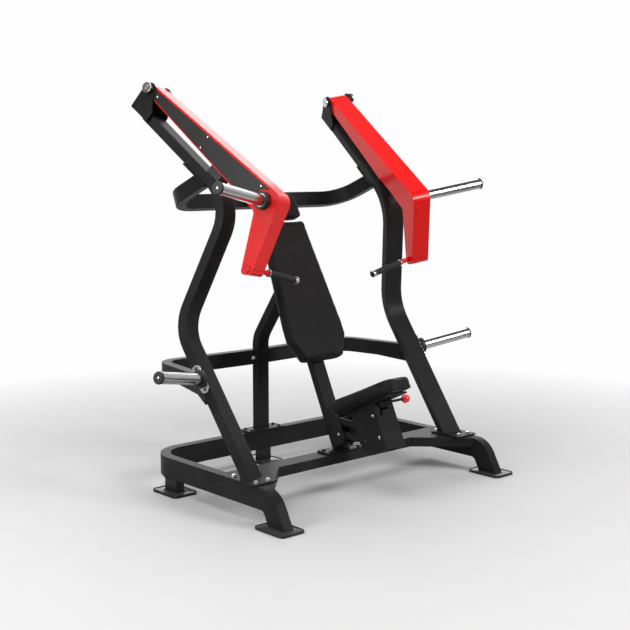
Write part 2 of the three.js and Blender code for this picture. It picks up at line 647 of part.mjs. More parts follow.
add(reclined, 'seat_bracket', seatBracket(), FRAME);
add(reclined, 'seat_rack', seatRack(), FRAME);
add(reclined, 'seat_link_lower', seatLink(0), FRAME);
add(reclined, 'seat_link_upper', seatLink(SEAT.rise), FRAME);
add(reclined, 'seat_carriage', seatCarriage(), FRAME);
add(reclined, 'seat_pad', seatPad(), UPHOLSTERY);
add(reclined, 'seat_lever', seatLever(), BLACK);
add(reclined, 'seat_knob', seatKnob(), RED);

// The layout's own origin lies near the knees of the uprights; the part's lies under the middle of its box.
machine.updateMatrixWorld(true);
const extent = new THREE.Box3().setFromObject(machine, true);
machine.position.y = -(extent.min.y + extent.max.y) / 2;

export default machine;
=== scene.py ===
"""Looks for the chest press machine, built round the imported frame. Metres, +Z up, the user faces -Y."""

import json
import math

import bmesh
import bpy
import numpy as np
from mathutils import Matrix, Vector


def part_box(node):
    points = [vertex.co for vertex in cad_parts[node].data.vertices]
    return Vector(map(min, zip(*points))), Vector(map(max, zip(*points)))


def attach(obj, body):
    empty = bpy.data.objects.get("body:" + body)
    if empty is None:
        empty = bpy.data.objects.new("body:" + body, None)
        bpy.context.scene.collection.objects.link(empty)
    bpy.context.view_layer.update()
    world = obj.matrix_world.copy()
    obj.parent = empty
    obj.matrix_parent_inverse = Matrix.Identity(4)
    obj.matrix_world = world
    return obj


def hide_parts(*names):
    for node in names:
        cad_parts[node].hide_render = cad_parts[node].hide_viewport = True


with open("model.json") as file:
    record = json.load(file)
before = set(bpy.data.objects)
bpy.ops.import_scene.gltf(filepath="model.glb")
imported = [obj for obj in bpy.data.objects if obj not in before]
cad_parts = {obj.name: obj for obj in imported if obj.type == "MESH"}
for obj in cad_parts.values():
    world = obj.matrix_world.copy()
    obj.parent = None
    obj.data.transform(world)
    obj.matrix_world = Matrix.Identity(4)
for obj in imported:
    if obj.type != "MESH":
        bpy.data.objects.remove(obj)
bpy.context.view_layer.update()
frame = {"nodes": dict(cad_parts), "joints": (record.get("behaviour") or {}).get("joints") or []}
NODES = frame["nodes"]
JOINTS = {j["name"]: j for j in frame["joints"]}
SIDES = ("right", "left")


# ------------------------------------------------------------------ camera
YAW, PITCH = math.radians(41.94), math.radians(7.45)       # turned right of +Y, and tipped down
camera = bpy.data.objects.new("camera", bpy.data.cameras.new("camera"))
bpy.context.scene.collection.objects.link(camera)
camera.location = (-3.528, -3.8953, 1.450)
camera.rotation_euler = (math.pi / 2 - PITCH, 0, -YAW)
camera.data.lens = 66.1
camera.data.sensor_width = 36
camera.data.clip_end = 60
bpy.context.scene.camera = camera


# ------------------------------------------------------------------ frames of the object
def basis(x, y, z, origin):
    """A matrix with these columns."""
    rows = [[x[i], y[i], z[i], origin[i]] for i in range(3)]
    return Matrix(rows + [[0, 0, 0, 1]])


MIRROR = Matrix.Diagonal((-1, 1, 1, 1))

# Each upright and its arm lie in one toed-in, leaning plane: e1 rearward, e2 up the plane, n outward.
press = JOINTS["arm_right_press"]
N = -Vector(press["axis"]).normalized()
E1 = Vector((-N.y, N.x, 0)).normalized()
E2 = N.cross(E1)
PIVOT = Vector((0.710, 1.633, -0.040))                     # the arm's pivot, as (e1, e2, n)
side_origin = Vector(press["pos_m"]) - PIVOT.x * E1 - PIVOT.y * E2 - PIVOT.z * N
SIDE = basis(E1, E2, N, side_origin)

# Back and seat share one reclined frame: x across, f forward off the back tube, s up along it.
TILT = math.radians(25.2)
X = Vector((1, 0, 0))
F = Vector((0, -math.cos(TILT), math.sin(TILT)))
S = Vector((0, math.sin(TILT), math.cos(TILT)))
SEAT_PIVOT = (0.432, 0.070)                                # the seat's lower fixed pivot, as (f, s)
seat_origin = Vector(JOINTS["seat_height"]["pos_m"]) - SEAT_PIVOT[0] * F - SEAT_PIVOT[1] * S
RECLINE = basis(X, S, F, seat_origin)                      # drawn as (x, s, f)
SEAT_UP = basis(X, -F, S, seat_origin)                     # drawn as (x, -f, s)


def on_side(side, local=Matrix.Identity(4)):
    """The leaning plane's frame on that side, times a local placing."""
    placed = SIDE @ local
    return placed if side == "right" else MIRROR @ placed


def at(point, axis=(0, 0, 1)):
    """Puts a piece drawn along +Z at a point, along an axis."""
    turn = Vector(axis).normalized().to_track_quat("Z", "Y").to_matrix().to_4x4()
    return Matrix.Translation(Vector(point)) @ turn


def reclined(x, f, s):
    """A point of the reclined frame, in the machine's frame."""
    return seat_origin + x * X + f * F + s * S


def both(*names):
    """The right and left nodes of each name."""
    return [f"{name}_{side}" for name in names for side in SIDES]


# ------------------------------------------------------------------ meshes
class Soup:
    """Vertices and faces of a piece, gathered part by part."""

    def __init__(self):
        self.verts, self.faces = [], []

    def add(self, shape, matrix=Matrix.Identity(4)):
        """Adds a shape at a place; a mirrored one has its faces turned back outwards."""
        verts, faces = shape
        start = len(self.verts)
        self.verts += [tuple(matrix @ Vector(v)) for v in verts]
        flip = matrix.to_3x3().determinant() < 0
        self.faces += [[start + i for i in (reversed(f) if flip else f)] for f in faces]
        return self

    def make(self, name, material, body, slot, smooth=40):
        """Makes the piece: smooth shaded, but for edges sharper than that many degrees."""
        mesh = bpy.data.meshes.new(name)
        mesh.from_pydata(self.verts, [], self.faces)
        mesh.validate()
        piece = bpy.data.objects.new(name, mesh)
        bpy.context.scene.collection.objects.link(piece)
        mesh.materials.append(material)
        mesh.shade_smooth()
        mesh.set_sharp_from_angle(angle=math.radians(smooth))
        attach(piece, body)


def lathe(profile, segments):
    """A shape turned about +Z from (radius, z) steps. A zero radius closes it on the axis.

    A radius may be a function of the angle, as round a hexagon.
    """
    verts, rings = [], []
    for radius, z in profile:
        if radius == 0:
            rings.append([len(verts)])
            verts.append((0, 0, z))
            continue
        rings.append(range(len(verts), len(verts) + segments))
        for k in range(segments):
            a = 2 * math.pi * k / segments
            r = radius(a) if callable(radius) else radius
            verts.append((r * math.cos(a), r * math.sin(a), z))
    faces = []
    for low, high in zip(rings, rings[1:]):
        for k in range(segments):
            n = (k + 1) % segments
            if len(low) == 1 and len(high) == 1:
                continue
            if len(low) == 1:
                faces.append([low[0], high[n], high[k]])
            elif len(high) == 1:
                faces.append([low[k], low[n], high[0]])
            else:
                faces.append([low[k], low[n], high[n], high[k]])
    return verts, faces


def disc(radius, height, segments):
    """A plain short cylinder that stands on z = 0."""
    return lathe([(0, 0), (radius, 0), (radius, height), (0, height)], segments)


def read_out(mesh):
    """A bmesh's vertices and faces as plain lists; the bmesh itself is freed."""
    mesh.verts.index_update()
    out = [tuple(v.co) for v in mesh.verts], [[v.index for v in f.verts] for f in mesh.faces]
    mesh.free()
    return out


def turned_ring(profile, segments):
    """A turned ring: the last step of its profile joins the first."""
    verts, faces = lathe(profile + [profile[0]], segments)
    mesh = bmesh.new()
    made = [mesh.verts.new(v) for v in verts]
    for face in faces:
        mesh.faces.new([made[i] for i in face])
    bmesh.ops.remove_doubles(mesh, verts=mesh.verts, dist=1e-7)
    bmesh.ops.recalc_face_normals(mesh, faces=mesh.faces)
    return read_out(mesh)


def prism(outline, low, high, edge=0.0, steps=3):
    """A plate of a plane outline with rounded rims, from z = low to z = high."""
    mesh = bmesh.new()
    base = [mesh.verts.new((x, y, low)) for x, y in outline]
    face = mesh.faces.new(base)
    grown = bmesh.ops.extrude_face_region(mesh, geom=[face])
    top = [v for v in grown["geom"] if isinstance(v, bmesh.types.BMVert)]
    for v in top:
        v.co.z = high
    bmesh.ops.recalc_face_normals(mesh, faces=mesh.faces)
    if edge:
        rims = [e for e in mesh.edges if abs(e.verts[0].co.z - e.verts[1].co.z) < 1e-9]
        bmesh.ops.bevel(mesh, geom=rims, offset=edge, segments=steps, profile=0.5, affect="EDGES")
    return read_out(mesh)


def rounded(corners, radii, steps):
    """A polygon with each corner rounded to its own radius, in that many steps."""
    out = []
    count = len(corners)
    for i, (corner, radius) in enumerate(zip(corners, radii)):
        p = Vector(corner)
        a = (Vector(corners[i - 1]) - p).normalized()
        b = (Vector(corners[(i + 1) % count]) - p).normalized()
        half = math.acos(max(-1, min(1, a.dot(b)))) / 2
        reach = radius / math.tan(half)
        centre = p + (a + b).normalized() * radius / math.sin(half)
        start, end = p + a * reach - centre, p + b * reach - centre
        turn = math.atan2(start.x * end.y - start.y * end.x, start.dot(end))
        for k in range(steps + 1):
            t = turn * k / steps
            c, s = math.cos(t), math.sin(t)
            out.append((centre.x + c * start.x - s * start.y, centre.y + s * start.x + c * start.y))
    return out


def rectangle(x, y, width, length, corner):
    """A rectangle round a centre, with rounded corners."""
    w, h = width / 2, length / 2
    return rounded([(x - w, y - h), (x + w, y - h), (x + w, y + h), (x - w, y + h)], [corner] * 4, 5)


def inset(outline, by):
    """The outline moved inwards by a distance, each vertex along its own normal."""
    out = []
    count = len(outline)
    for i in range(count):
        p, a, b = Vector(outline[i]), Vector(outline[i - 1]), Vector(outline[(i + 1) % count])
        d = ((p - a).normalized() + (b - p).normalized()).normalized()
        out.append((p.x - d.y * by, p.y + d.x * by))
    return out


def rim(outline, width, low, high):
    """A raised lip that follows an outline."""
    inner = inset(outline, width)
    soft = min(width, high - low) * 0.3
    rings = [(outline, low), (outline, high - soft), (inset(outline, soft), high),
             (inset(outline, width - soft), high), (inner, high - soft), (inner, low)]
    count = len(outline)
    verts = [(x, y, z) for loop, z in rings for x, y in loop]
    faces = []
    for r in range(len(rings)):
        s = (r + 1) % len(rings)
        for k in range(count):
            n = (k + 1) % count
            faces.append([r * count + k, r * count + n, s * count + n, s * count + k])
    return verts, faces


def tube(points, radius, segments, ripple):
    """A closed bead along a closed line of points; ripple gives each point's share of the radius."""
    count = len(points)
    verts, faces = [], []
    for i, point in enumerate(points):
        p = Vector(point)
        along = (Vector(points[(i + 1) % count]) - Vector(points[i - 1])).normalized()
        side = along.orthogonal().normalized()
        up = along.cross(side)
        r = radius * ripple(i)
        for k in range(segments):
            a = 2 * math.pi * k / segments
            verts.append(tuple(p + r * (math.cos(a) * side + math.sin(a) * up)))
        for k in range(segments):
            n = (k + 1) % segments
            j = (i + 1) % count
            faces.append([i * segments + k, i * segments + n, j * segments + n, j * segments + k])
    return verts, faces


# ------------------------------------------------------------------ hardware shapes
WASHER = 0.002                                             # a washer's thickness
BEAD, RIPPLE = 0.0032, 0.0045                              # a weld's radius, and the pitch of its ripples


def washer(outer, inner, thick):
    """A flat washer with its outer edges chamfered."""
    e = thick * 0.25
    profile = [(inner, 0), (outer - e, 0), (outer, e), (outer, thick - e), (outer - e, thick), (inner, thick)]
    return turned_ring(profile, 28)


def hexagon(across):
    """The radius, at an angle, of a hexagon of that width across its flats."""
    return lambda a: across / 2 / math.cos((a % (math.pi / 3)) - math.pi / 6)


def hex_head(across, height):
    """A hexagon bolt head with its turned chamfer on top."""
    side = hexagon(across)

    def chamfer(a):
        return min(side(a) * 0.97, across * 0.5)

    return lathe([(0, 0), (side, 0), (side, height * 0.82), (chamfer, height), (across * 0.44, height),
                  (0, height)], 36)


def button_head(radius, height):
    """A domed screw head with a hexagon socket."""
    flat = hexagon(radius * 0.95)
    dome = [(radius, 0), (radius, height * 0.2)]
    for k in range(1, 5):
        a = math.pi / 2 * k / 5.5
        dome.append((radius * (0.45 + 0.55 * math.cos(a)), height * (0.2 + 0.8 * math.sin(a))))
    socket = [(flat, height * 0.98), (flat, height * 0.4), (0, height * 0.4)]
    return lathe([(0, 0)] + dome + socket, 36)


def bolt(soup, place, size=0.010, washer_radius=0.0105):
    """A hexagon bolt of a thread size on its washer, drawn along the place's +Z."""
    soup.add(washer(washer_radius, size * 0.5, WASHER), place)
    soup.add(hex_head(size * 1.65, size * 0.62), place @ Matrix.Translation((0, 0, WASHER)))


def weld(soup, corners):
    """A rippled weld bead round a closed polygon."""
    points = []
    count = len(corners)
    for i, corner in enumerate(corners):
        a, b = Vector(corner), Vector(corners[(i + 1) % count])
        steps = max(2, int((b - a).length / RIPPLE * 2))
        points += [a.lerp(b, k / steps) for k in range(steps)]
    soup.add(tube(points, BEAD, 8, lambda i: 0.86 + 0.14 * math.cos(math.pi * i)))


# ------------------------------------------------------------------ materials
def shader(name, **values):
    """A node material: returns it with its tree, its main shader and its object coordinates."""
    material = bpy.data.materials.new(name)
    material.use_nodes = True
    tree = material.node_tree
    main = tree.nodes["Principled BSDF"]
    for socket, value in values.items():
        main.inputs[socket.replace("_", " ")].default_value = value
    where = tree.nodes.new("ShaderNodeTexCoord").outputs["Object"]
    return material, tree, main, where


def noise_node(tree, where, scale, detail=3.0, rough=0.5):
    """Fractal noise of that many features to the metre."""
    node = tree.nodes.new("ShaderNodeTexNoise")
    node.inputs["Scale"].default_value = scale
    node.inputs["Detail"].default_value = detail
    node.inputs["Roughness"].default_value = rough
    tree.links.new(where, node.inputs["Vector"])
    return node.outputs["Fac"]


def ramp(tree, fac, low, high, a, b):
    """Maps fac from low..high to the values or colours a..b."""
    if isinstance(a, (int, float)):
        node = tree.nodes.new("ShaderNodeMapRange")
        for key, value in zip(("From Min", "From Max", "To Min", "To Max"), (low, high, a, b)):
            node.inputs[key].default_value = value
        tree.links.new(fac, node.inputs["Value"])
        return node.outputs["Result"]
    node = tree.nodes.new("ShaderNodeValToRGB")
    node.color_ramp.elements[0].position = low
    node.color_ramp.elements[1].position = high
    node.color_ramp.elements[0].color = (*a, 1)
    node.color_ramp.elements[1].color = (*b, 1)
    tree.links.new(fac, node.inputs["Fac"])
    return node.outputs["Color"]


def bump(tree, height, strength, distance, after=None):
    """Turns a height into a normal, on top of an earlier bump if there is one."""
    node = tree.nodes.new("ShaderNodeBump")
    node.inputs["Strength"].default_value = strength
    node.inputs["Distance"].default_value = distance
    tree.links.new(height, node.inputs["Height"])
    if after is not None:
        tree.links.new(after, node.inputs["Normal"])
    return node.outputs["Normal"]


def powder_coat(name, dark, light, roughness, coat, coat_rough, shine=0.25):
    """Baked powder paint: fine orange peel, faint mottling and a roughness that drifts."""
    material, tree, main, where = shader(name, Specular_IOR_Level=shine, Coat_Weight=coat,
                                         Coat_Roughness=coat_rough)
    drift = noise_node(tree, where, 6.0, 4.0)
    fleck = noise_node(tree, where, 900.0, 2.0)
    mixed = tree.nodes.new("ShaderNodeMath")
    mixed.operation = "MULTIPLY_ADD"
    tree.links.new(fleck, mixed.inputs[0])
    mixed.inputs[1].default_value = 0.35
    tree.links.new(drift, mixed.inputs[2])
    tree.links.new(ramp(tree, mixed.outputs[0], 0.45, 0.9, dark, light), main.inputs["Base Color"])
    rough = ramp(tree, drift, 0.3, 0.7, roughness - 0.02, roughness + 0.03)
    tree.links.new(rough, main.inputs["Roughness"])
    peel = noise_node(tree, where, 420.0, 2.0)
    tree.links.new(bump(tree, peel, 0.10, 0.0004), main.inputs["Normal"])
    return material


def leather(name):
    """Upholstery vinyl: pebbled grain, fine pores, faint creases and uneven handling wear."""
    material, tree, main, where = shader(name, Specular_IOR_Level=0.11, Sheen_Weight=0.02,
                                         Sheen_Roughness=0.5)
    dark, light = (0.0085, 0.0081, 0.0080), (0.0145, 0.0138, 0.0137)
    drift = noise_node(tree, where, 9.0, 4.0)
    tree.links.new(ramp(tree, drift, 0.3, 0.75, dark, light), main.inputs["Base Color"])
    tree.links.new(ramp(tree, drift, 0.3, 0.7, 0.47, 0.60), main.inputs["Roughness"])
    grain = tree.nodes.new("ShaderNodeTexVoronoi")
    grain.feature = "DISTANCE_TO_EDGE"
    grain.inputs["Scale"].default_value = 620.0
    tree.links.new(where, grain.inputs["Vector"])
    cells = ramp(tree, grain.outputs["Distance"], 0.0, 0.22, 0.0, 1.0)
    pores = noise_node(tree, where, 1500.0, 2.0)
    first = bump(tree, cells, 0.28, 0.0003)
    second = bump(tree, pores, 0.12, 0.0002, first)
    creases = noise_node(tree, where, 38.0, 3.0, 0.6)
    tree.links.new(bump(tree, creases, 0.12, 0.002, second), main.inputs["Normal"])
    return material


def rubber(name, tone, roughness, grain=700.0):
    """Matt rubber: a fine skin, and patches a little darker or smoother."""
    material, tree, main, where = shader(name)
    drift = noise_node(tree, where, 14.0, 4.0)
    low, high = (tone * 0.75,) * 3, (tone * 1.5,) * 3
    tree.links.new(ramp(tree, drift, 0.3, 0.75, low, high), main.inputs["Base Color"])
    rough = ramp(tree, drift, 0.3, 0.7, roughness - 0.06, roughness + 0.08)
    tree.links.new(rough, main.inputs["Roughness"])
    skin = noise_node(tree, where, grain, 3.0)
    tree.links.new(bump(tree, skin, 0.35, 0.0004), main.inputs["Normal"])
    return material


def chrome(name, tone=0.66, roughness=0.19):
    """Plated steel: faint handling haze and hairline polish marks."""
    material, tree, main, where = shader(name, Metallic=1.0)
    haze = noise_node(tree, where, 24.0, 5.0, 0.6)
    clean, dull = (tone, tone, tone * 1.01), (tone * 0.9,) * 3
    tree.links.new(ramp(tree, haze, 0.3, 0.8, clean, dull), main.inputs["Base Color"])
    tree.links.new(ramp(tree, haze, 0.35, 0.8, roughness, roughness + 0.09), main.inputs["Roughness"])
    lines = noise_node(tree, where, 1300.0, 1.0)
    tree.links.new(bump(tree, lines, 0.04, 0.0001), main.inputs["Normal"])
    return material


def moulded(name, dark, light, roughness):
    """A smooth hard surface, such as moulded plastic, with a fine spark-eroded skin."""
    material, tree, main, where = shader(name)
    drift = noise_node(tree, where, 30.0, 3.0)
    tree.links.new(ramp(tree, drift, 0.3, 0.7, dark, light), main.inputs["Base Color"])
    rough = ramp(tree, drift, 0.3, 0.7, roughness - 0.04, roughness + 0.06)
    tree.links.new(rough, main.inputs["Roughness"])
    skin = noise_node(tree, where, 1100.0, 2.0)
    tree.links.new(bump(tree, skin, 0.15, 0.0002), main.inputs["Normal"])
    return material


FRAME_PAINT = powder_coat("frame_paint", (0.0150, 0.0151, 0.0154), (0.0240, 0.0243, 0.0249),
                          0.42, 0.02, 0.25, 0.06)
ARM_PAINT = powder_coat("arm_paint", (0.72, 0.0052, 0.0047), (0.79, 0.0066, 0.0058),
                        0.28, 0.20, 0.06, 0.22)
PANEL = powder_coat("panel", (0.012, 0.0122, 0.0098), (0.020, 0.0204, 0.0215), 0.45, 0.1, 0.3)
FOOT_STEEL = powder_coat("foot_steel", (0.030, 0.030, 0.031), (0.048, 0.048, 0.050), 0.30, 0.3, 0.15)
FOOT_RUBBER = rubber("foot_rubber", 0.007, 0.6)
RUBBER = rubber("rubber", 0.008, 0.5)
GRIP = rubber("grip_rubber", 0.006, 0.68, 1400.0)
CHROME = chrome("chrome")
ZINC = chrome("zinc", 0.72, 0.22)
KNOB = moulded("knob_plastic", (0.90, 0.030, 0.026), (0.98, 0.045, 0.036), 0.26)
BOARD = moulded("board", (0.009, 0.009, 0.009), (0.014, 0.014, 0.014), 0.5)
BLACK_STEEL = moulded("black_steel", (0.010, 0.010, 0.010), (0.016, 0.016, 0.016), 0.34)
SHADOW = moulded("hole_shadow", (0.002, 0.002, 0.002), (0.003, 0.003, 0.003), 0.8)
LEATHER = leather("upholstery")


# ------------------------------------------------------------------ CAD nodes: looks and softened edges
CREASE = math.radians(32)                                  # edges sharper than this are rounded or kept crisp


def dress(names, material, edge=0.0, segments=3, smooth=True):
    """Gives CAD nodes a material and, by modifiers, whole flat faces and rounded edges."""
    for name in names:
        node = NODES[name]
        node.data.materials.clear()
        node.data.materials.append(material)
        for polygon in node.data.polygons:
            polygon.use_smooth = smooth
        join = node.modifiers.new("join", "WELD")
        join.merge_threshold = 2e-5
        if edge:
            flat = node.modifiers.new("flat", "DECIMATE")
            flat.decimate_type = "DISSOLVE"
            flat.angle_limit = math.radians(0.5)
            soften = node.modifiers.new("soften", "BEVEL")
            soften.width = edge
            soften.segments = segments
            soften.limit_method = "ANGLE"
            soften.angle_limit = CREASE
            soften.use_clamp_overlap = True
        else:
            crisp = node.modifiers.new("crisp", "EDGE_SPLIT")
            crisp.split_angle = CREASE
        even = node.modifiers.new("even", "WEIGHTED_NORMAL")
        even.mode = "FACE_AREA_WITH_ANGLE"
        even.weight = 80
        even.keep_sharp = True


dress(["base_ring", "top_ring", "cross_beam", "rear_post", "back_support"]
      + both("upright", "storage_ring"), FRAME_PAINT, 0.0035)
dress(["post_plate", "support_plate", "seat_bracket", "seat_rack", "seat_link_lower", "seat_link_upper",
       "seat_carriage"] + both("upright_plate", "ring_plate", "pivot_bracket"), FRAME_PAINT, 0.0012, 2)
dress(both("arm"), ARM_PAINT, 0.0035, 5, smooth=False)
dress(both("handle_tube"), ARM_PAINT, 0.0015, 2)
dress(both("arm_cover"), PANEL, 0.0008, 2)
dress(both("front_foot"), FOOT_RUBBER, 0.003)
dress(both("rubber_stop", "arm_horn_collar", "storage_collar"), RUBBER, 0.003)
dress(both("arm_horn_cap", "storage_horn_cap"), RUBBER, 0.0015)
dress(both("pivot_shaft"), CHROME, 0.002)
dress(both("arm_horn", "storage_horn"), CHROME)
dress(both("storage_plate"), CHROME, 0.0010, 2)
dress(["seat_lever"], FRAME_PAINT, 0.001, 2)
dress(["seat_knob"], KNOB, 0.003)


# ------------------------------------------------------------------ stage and light
FLOOR_RINGS = (0.5, 1.5, 3.0, 5.0, 9.0)                    # radii of the floor's rings of faces
FLOOR_FADE = (0.7, 3.2)                                    # the floor fades out between these radii
FLOOR_DROP = 0.0005                                        # just under the feet
WALLS_LOW, WALLS_HIGH = 0.15, 0.09                         # light from the horizon and from overhead
BACKDROP = 1.35                                            # light from behind the machine
GLOW = 0.9                                                 # light from the studio's bright panel
GLOW_FROM = (0.743, 0.550, 0.382)                          # and the direction that the panel is in


def make_floor():
    """A pale round floor that fades out into the white surround."""
    segments = 64
    verts, faces = lathe([(r, 0.0) for r in FLOOR_RINGS], segments)
    faces.append(list(range(segments)))
    mesh = bpy.data.meshes.new("floor")
    mesh.from_pydata([(x, y, -FLOOR_DROP) for x, y, z in verts], [], faces)
    floor = bpy.data.objects.new("floor", mesh)
    bpy.context.scene.collection.objects.link(floor)
    material, tree, main, where = shader("floor", Roughness=0.85, Specular_IOR_Level=0.15)
    tone = ramp(tree, noise_node(tree, where, 3.0), 0.2, 0.8, (0.54,) * 3, (0.57,) * 3)
    tree.links.new(tone, main.inputs["Base Color"])
    length = tree.nodes.new("ShaderNodeVectorMath")
    length.operation = "LENGTH"
    tree.links.new(where, length.inputs[0])
    tree.links.new(ramp(tree, length.outputs["Value"], *FLOOR_FADE, 1.0, 0.0), main.inputs["Alpha"])
    mesh.materials.append(material)


def toward(tree, where, direction, near, full, most):
    """Light from round a direction: none until the cosine is near, and the most from full on."""
    cosine = tree.nodes.new("ShaderNodeVectorMath")
    cosine.operation = "DOT_PRODUCT"
    tree.links.new(where, cosine.inputs[0])
    cosine.inputs[1].default_value = direction
    return ramp(tree, cosine.outputs["Value"], near, full, 0.0, most)


def make_surround():
    """White where it is seen directly. It lights like a studio: dim walls, a backdrop and a panel."""
    world = bpy.data.worlds.new("studio")
    bpy.context.scene.world = world
    world.use_nodes = True
    tree = world.node_tree
    dome = tree.nodes["Background"]
    where = tree.nodes.new("ShaderNodeTexCoord").outputs["Generated"]
    split = tree.nodes.new("ShaderNodeSeparateXYZ")
    tree.links.new(where, split.inputs["Vector"])
    height = ramp(tree, split.outputs["Z"], -0.1, 0.8, WALLS_LOW, WALLS_HIGH)
    patches = ramp(tree, noise_node(tree, where, 1.7, 1.0), 0.42, 0.58, 0.6, 1.3)
    level = tree.nodes.new("ShaderNodeMath")
    level.operation = "MULTIPLY_ADD"
    tree.links.new(height, level.inputs[0])
    tree.links.new(patches, level.inputs[1])
    behind = (math.sin(YAW), math.cos(YAW), 0)
    tree.links.new(toward(tree, where, behind, 0.3, 0.92, BACKDROP), level.inputs[2])
    total = tree.nodes.new("ShaderNodeMath")
    total.operation = "ADD"
    tree.links.new(level.outputs[0], total.inputs[0])
    tree.links.new(toward(tree, where, GLOW_FROM, 0.82, 0.96, GLOW), total.inputs[1])
    dome.inputs["Color"].default_value = (1, 1, 1, 1)
    tree.links.new(total.outputs[0], dome.inputs["Strength"])
    white = tree.nodes.new("ShaderNodeBackground")
    white.inputs["Color"].default_value = (0.99, 0.99, 0.99, 1)
    seen = tree.nodes.new("ShaderNodeLightPath").outputs["Is Camera Ray"]
    pick = tree.nodes.new("ShaderNodeMixShader")
    tree.links.new(seen, pick.inputs["Fac"])
    tree.links.new(dome.outputs[0], pick.inputs[1])
    tree.links.new(white.outputs[0], pick.inputs[2])
    tree.links.new(pick.outputs[0], tree.nodes["World Output"].inputs["Surface"])


def area(name, place, target, size, power):
    """A soft box of light at a place, turned to a target."""
    data = bpy.data.lights.new(name, "AREA")
    data.shape = "RECTANGLE"
    data.size, data.size_y = size
    data.energy = power
    lamp = bpy.data.objects.new(name, data)
    bpy.context.scene.collection.objects.link(lamp)
    lamp.location = place
    lamp.rotation_euler = (Vector(target) - Vector(place)).to_track_quat("-Z", "Y").to_euler()


make_floor()
make_surround()
area("top_light", (-1.5, -0.1, 4.4), (-0.1, 0.0, 0.6), (2.8, 3.0), 104)
area("left_light", (-4.4, 0.0, 2.2), (0, 0, 0.9), (1.2, 2.6), 110)
area("front_light", (1.6, -4.6, 3.0), (0, 0, 0.9), (1.6, 2.0), 190)
bpy.context.scene.view_settings.view_transform = "Standard"
bpy.context.scene.view_settings.look = "None"


# ------------------------------------------------------------------ cushions
SWELL = 0.004                                              # a cushion's sides bulge this far past its outline
SHRINK = 0.0010                                            # and start this far inside it
HELD = 0.004                                               # depth of the strip that is held by the board
CROWN_ROOM = 0.003                                         # left in front for the crown
PRESSURE = 2.6                                             # of the air that puffs it out
FRAMES = 20                                                # length of the simulation


def modify(piece, kind, **settings):
    """Adds a modifier with these settings."""
    modifier = piece.modifiers.new(kind.lower(), kind)
    for key, value in settings.items():
        setattr(modifier, key, value)
    return modifier


def apply_all(piece):
    """Turns what the modifiers make into the piece's own mesh."""
    evaluated = piece.evaluated_get(bpy.context.evaluated_depsgraph_get())
    fresh = bpy.data.meshes.new_from_object(evaluated)
    piece.modifiers.clear()
    piece.data = fresh


def points_of(piece):
    """The mesh's points as an array."""
    return np.array([v.co for v in piece.data.vertices])


def move_points(piece, points):
    """Puts the mesh's points there."""
    piece.data.vertices.foreach_set("co", points.astype(np.float32).ravel())


def foam_block(name, outline, back, front, edge):
    """The cushion before it is puffed out: a little small, with rounded front edges, in fine even cells."""
    mesh = bpy.data.meshes.new(name)
    verts, faces = prism(inset(outline, SHRINK), back, front - CROWN_ROOM)
    mesh.from_pydata(verts, [], faces)
    piece = bpy.data.objects.new(name, mesh)
    bpy.context.scene.collection.objects.link(piece)
    shape = bmesh.new()
    shape.from_mesh(mesh)
    rims = [e for e in shape.edges if all(v.co.z > back + HELD for v in e.verts)]
    bmesh.ops.bevel(shape, geom=rims, offset=edge, segments=5, profile=0.5, affect="EDGES")
    bmesh.ops.recalc_face_normals(shape, faces=shape.faces)
    shape.to_mesh(mesh)
    shape.free()
    modify(piece, "REMESH", mode="VOXEL", voxel_size=0.0048)
    apply_all(piece)
    return piece


def puff_out(piece, back):
    """Simulates the cover as cloth under pressure, held along its back edge."""
    held = piece.vertex_groups.new(name="held")
    held.add([i for i, p in enumerate(points_of(piece)) if p[2] < back + HELD], 1.0, "REPLACE")
    cloth = modify(piece, "CLOTH")
    cloth.settings.quality = 4
    cloth.settings.mass = 0.35
    cloth.settings.tension_stiffness = 22
    cloth.settings.compression_stiffness = 18
    cloth.settings.bending_stiffness = 1.2
    cloth.settings.use_pressure = True
    cloth.settings.uniform_pressure_force = PRESSURE
    cloth.settings.effector_weights.gravity = 0
    cloth.settings.vertex_group_mass = "held"
    cloth.point_cache.frame_start = 1
    cloth.point_cache.frame_end = FRAMES
    for number in range(1, FRAMES + 1):
        bpy.context.scene.frame_set(number)
    apply_all(piece)
    bpy.context.scene.frame_set(1)
    piece.vertex_groups.clear()


def cushion(name, outline, back, front, node, body, place=RECLINE, crown=0.004, edge=0.005):
    """Foam under vinyl, from back to front. The simulation moves no point further than crown."""
    piece = foam_block(name, outline, back, front, edge)
    rest = points_of(piece)
    puff_out(piece, back)
    step = points_of(piece) - rest
    size = np.linalg.norm(step, axis=1, keepdims=True)
    step *= np.minimum(1, crown / np.maximum(size, 1e-9))
    moved = rest + step
    moved[:, 2] = np.clip(moved[:, 2], back, front + 0.001)
    move_points(piece, moved)
    relax(piece)
    low, high = np.min(outline, axis=0) - SWELL, np.max(outline, axis=0) + SWELL
    fill(piece, (*low, back), (*high, front + SWELL / 2))
    piece.data.shade_smooth()
    modify(piece, "SUBSURF", levels=1, render_levels=1)
    piece.data.materials.clear()
    piece.data.materials.append(LEATHER)
    piece.data.transform(place)
    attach(piece, body)
    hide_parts(node)


def fill(piece, low, high):
    """Stretches a piece's mesh a little so that it just fills a box."""
    points = points_of(piece)
    was_low, was_high = points.min(axis=0), points.max(axis=0)
    low, high = np.array(low), np.array(high)
    move_points(piece, low + (points - was_low) * (high - low) / (was_high - was_low))


def relax(piece):
    """Evens out the voxel steps with plain smoothing."""
    shape = bmesh.new()
    shape.from_mesh(piece.data)
    bmesh.ops.smooth_vert(shape, verts=shape.verts, factor=0.5, use_axis_x=True, use_axis_y=True,
                          use_axis_z=True)
    shape.to_mesh(piece.data)
    shape.free()


